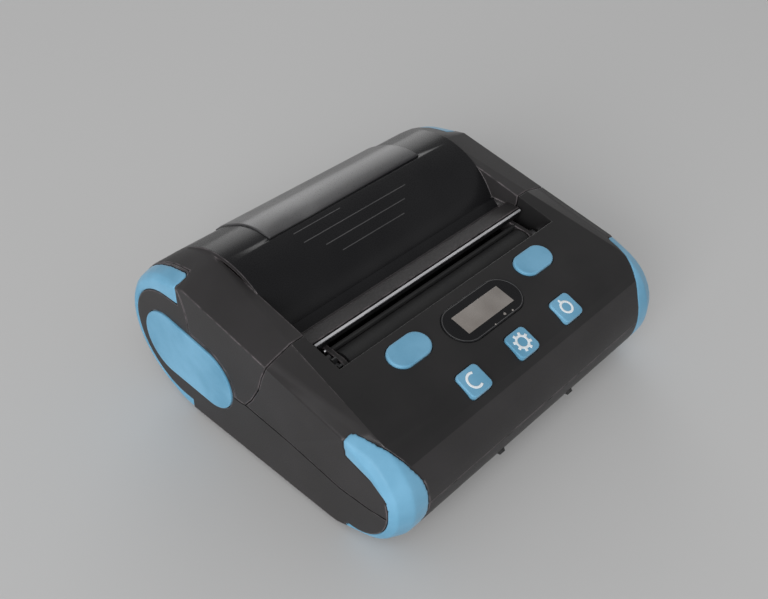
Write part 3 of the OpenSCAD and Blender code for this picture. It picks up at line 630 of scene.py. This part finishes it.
teeth = {"count": 144, "pitch": 0.8, "radius": 0.36, "depth": 0.5, "y": -14.25, "z": 54.5, "lean": 60,
         "squash": 0.6}
deselectAll()
bpy.ops.mesh.primitive_cone_add(vertices=4, radius1=teeth["radius"] * mm, radius2=0, depth=teeth["depth"] * mm)
tooth = bpy.context.object
tooth.name = "tearTeeth"
tooth.rotation_euler = (math.radians(teeth["lean"]), 0, 0)
tooth.scale.y = teeth["squash"]
tooth.location = (-(teeth["count"] - 1) / 2 * teeth["pitch"] * mm, teeth["y"] * mm, teeth["z"] * mm)
settle(tooth)
addModifier(tooth, "ARRAY", count=teeth["count"], use_relative_offset=False, use_constant_offset=True,
            constant_offset_displace=(teeth["pitch"] * mm, 0, 0))
dress(tooth, finishes["tearSteelPaintedShine"], "cover")

rivetLook = {"place": (-54.4, -14.7, 50.1), "radius": 0.8, "height": 1.1, "round": 0.35, "dent": 0.4}
deselectAll()
bpy.ops.mesh.primitive_cylinder_add(vertices=32, radius=rivetLook["radius"] * mm,
                                    depth=rivetLook["height"] * mm)
rivet = bpy.context.object
rivet.name = "armRivet"
addModifier(rivet, "BEVEL", width=rivetLook["round"] * mm, segments=4, limit_method="ANGLE",
            angle_limit=math.radians(40))
selectWhere(rivet, "FACE", lambda f: abs(f.normal.z) > 0.99)
bpy.ops.mesh.inset(thickness=rivetLook["dent"] / 2 * mm, depth=-rivetLook["dent"] / 4 * mm)
bpy.ops.object.mode_set(mode="OBJECT")
smoothByAngle(rivet, 50)
rivetPlace = Matrix.Translation([v * mm for v in rivetLook["place"]])
putAt(rivet, rivetPlace @ Matrix.Rotation(math.radians(90), 4, "Y"))
dress(rivet, finishes["brightSteel"], "cover")
print("cover trim made")

# the seam between the two halves of the case, a dark line along each side
seamLook = {"thick": 0.12, "tall": 0.42, "stub": 0.2, "half": 77.5,
            "path": ((9.4, 27.2), (6.5, 27.2), (3.4, 27.9), (-20, 26.0), (-45, 22.5), (-58, 23.2),
                     (-66.2, 24.7))}
seams = []
for way in (-1, 1):
    deselectAll()
    bpy.ops.mesh.primitive_cube_add(size=1)
    seam = bpy.context.object
    start = seamLook["path"][0]
    seam.scale = (seamLook["thick"] * mm, seamLook["stub"] * mm, seamLook["tall"] * mm)
    seam.location = (seamLook["half"] * way * mm, start[0] * mm, start[1] * mm)
    settle(seam)
    selectWhere(seam, "FACE", lambda f: f.normal.y < -0.9)
    for (y0, z0), (y1, z1) in zip(seamLook["path"], seamLook["path"][1:]):
        step = (0, (y1 - y0) * mm, (z1 - z0) * mm)
        bpy.ops.mesh.extrude_region_move(TRANSFORM_OT_translate={"value": step})
    bpy.ops.object.mode_set(mode="OBJECT")
    seams.append(seam)
seams = joinPieces("sideSeams", seams)
dress(seams, finishes["seamBlack"], "case")
print("seams made")

# light, floor and camera

studio = {"floorSize": 6.0, "floorColour": (0.59, 0.59, 0.59), "floorRough": 0.9, "worldStrength": 0.4,
          "sideLamp": (62, 1.9, (-2.6, -1.1, 0.9)), "backLamp": (10, 1.3, (1.45, 1.75, 0.7)),
          "topLamp": (22, 2.4, (-1.6, -1.5, 2.3)), "frontLamp": (0.8, 0.8, (1.3, -1.8, 0.42)),
          "aim": (0, 0, 0.03)}

bpy.ops.mesh.primitive_plane_add(size=studio["floorSize"], location=(0, 0, 0))
floor = bpy.context.object
floor.name = "floor"
settle(floor)
floorLook = bpy.data.materials.new("paleFloor")
floorLook.use_nodes = True
floorSkin = floorLook.node_tree.nodes["Principled BSDF"]
floorSkin.inputs["Base Color"].default_value = (*studio["floorColour"], 1)
floorSkin.inputs["Roughness"].default_value = studio["floorRough"]
floorSkin.inputs["Specular IOR Level"].default_value = 0.0
floor.data.materials.append(floorLook)

world = bpy.context.scene.world or bpy.data.worlds.new("studioWorld")
bpy.context.scene.world = world
world.use_nodes = True
worldBack = world.node_tree.nodes["Background"]
worldBack.inputs["Color"].default_value = (1, 1, 1, 1)
worldBack.inputs["Strength"].default_value = studio["worldStrength"]


def addLamp(name, power, size, place):
    bpy.ops.object.light_add(type="AREA", location=place)
    lamp = bpy.context.object
    lamp.name = name
    lamp.data.energy = power
    lamp.data.size = size
    aim = Vector(studio["aim"]) - Vector(place)
    lamp.rotation_euler = aim.to_track_quat("-Z", "Y").to_euler()
    return lamp


for lampName in ("sideLamp", "backLamp", "topLamp", "frontLamp"):
    addLamp(lampName, *studio[lampName])

# the camera stands where the photograph's edges and button centres put it
shot = {"place": (-0.2180, -0.1964, 0.2736), "forward": (0.5638, 0.5292, -0.6341),
        "right": (0.6881, -0.7256, 0.0062), "focalPixels": 949.53, "frameWidth": 768}
cameraData = bpy.data.cameras.new("shotCamera")
cameraData.sensor_width = 36.0
cameraData.lens = shot["focalPixels"] * 36.0 / shot["frameWidth"]
cameraData.clip_start = 0.01
camera = bpy.data.objects.new("shotCamera", cameraData)
bpy.context.scene.collection.objects.link(camera)
back = -Vector(shot["forward"]).normalized()
side = (Vector(shot["right"]) - back * Vector(shot["right"]).dot(back)).normalized()
up = back.cross(side)
turn = Matrix((side, up, back)).transposed().to_4x4()
camera.matrix_world = Matrix.Translation(Vector(shot["place"])) @ turn
bpy.context.scene.camera = camera
bpy.context.scene.view_settings.view_transform = "Standard"
print("light and camera set")
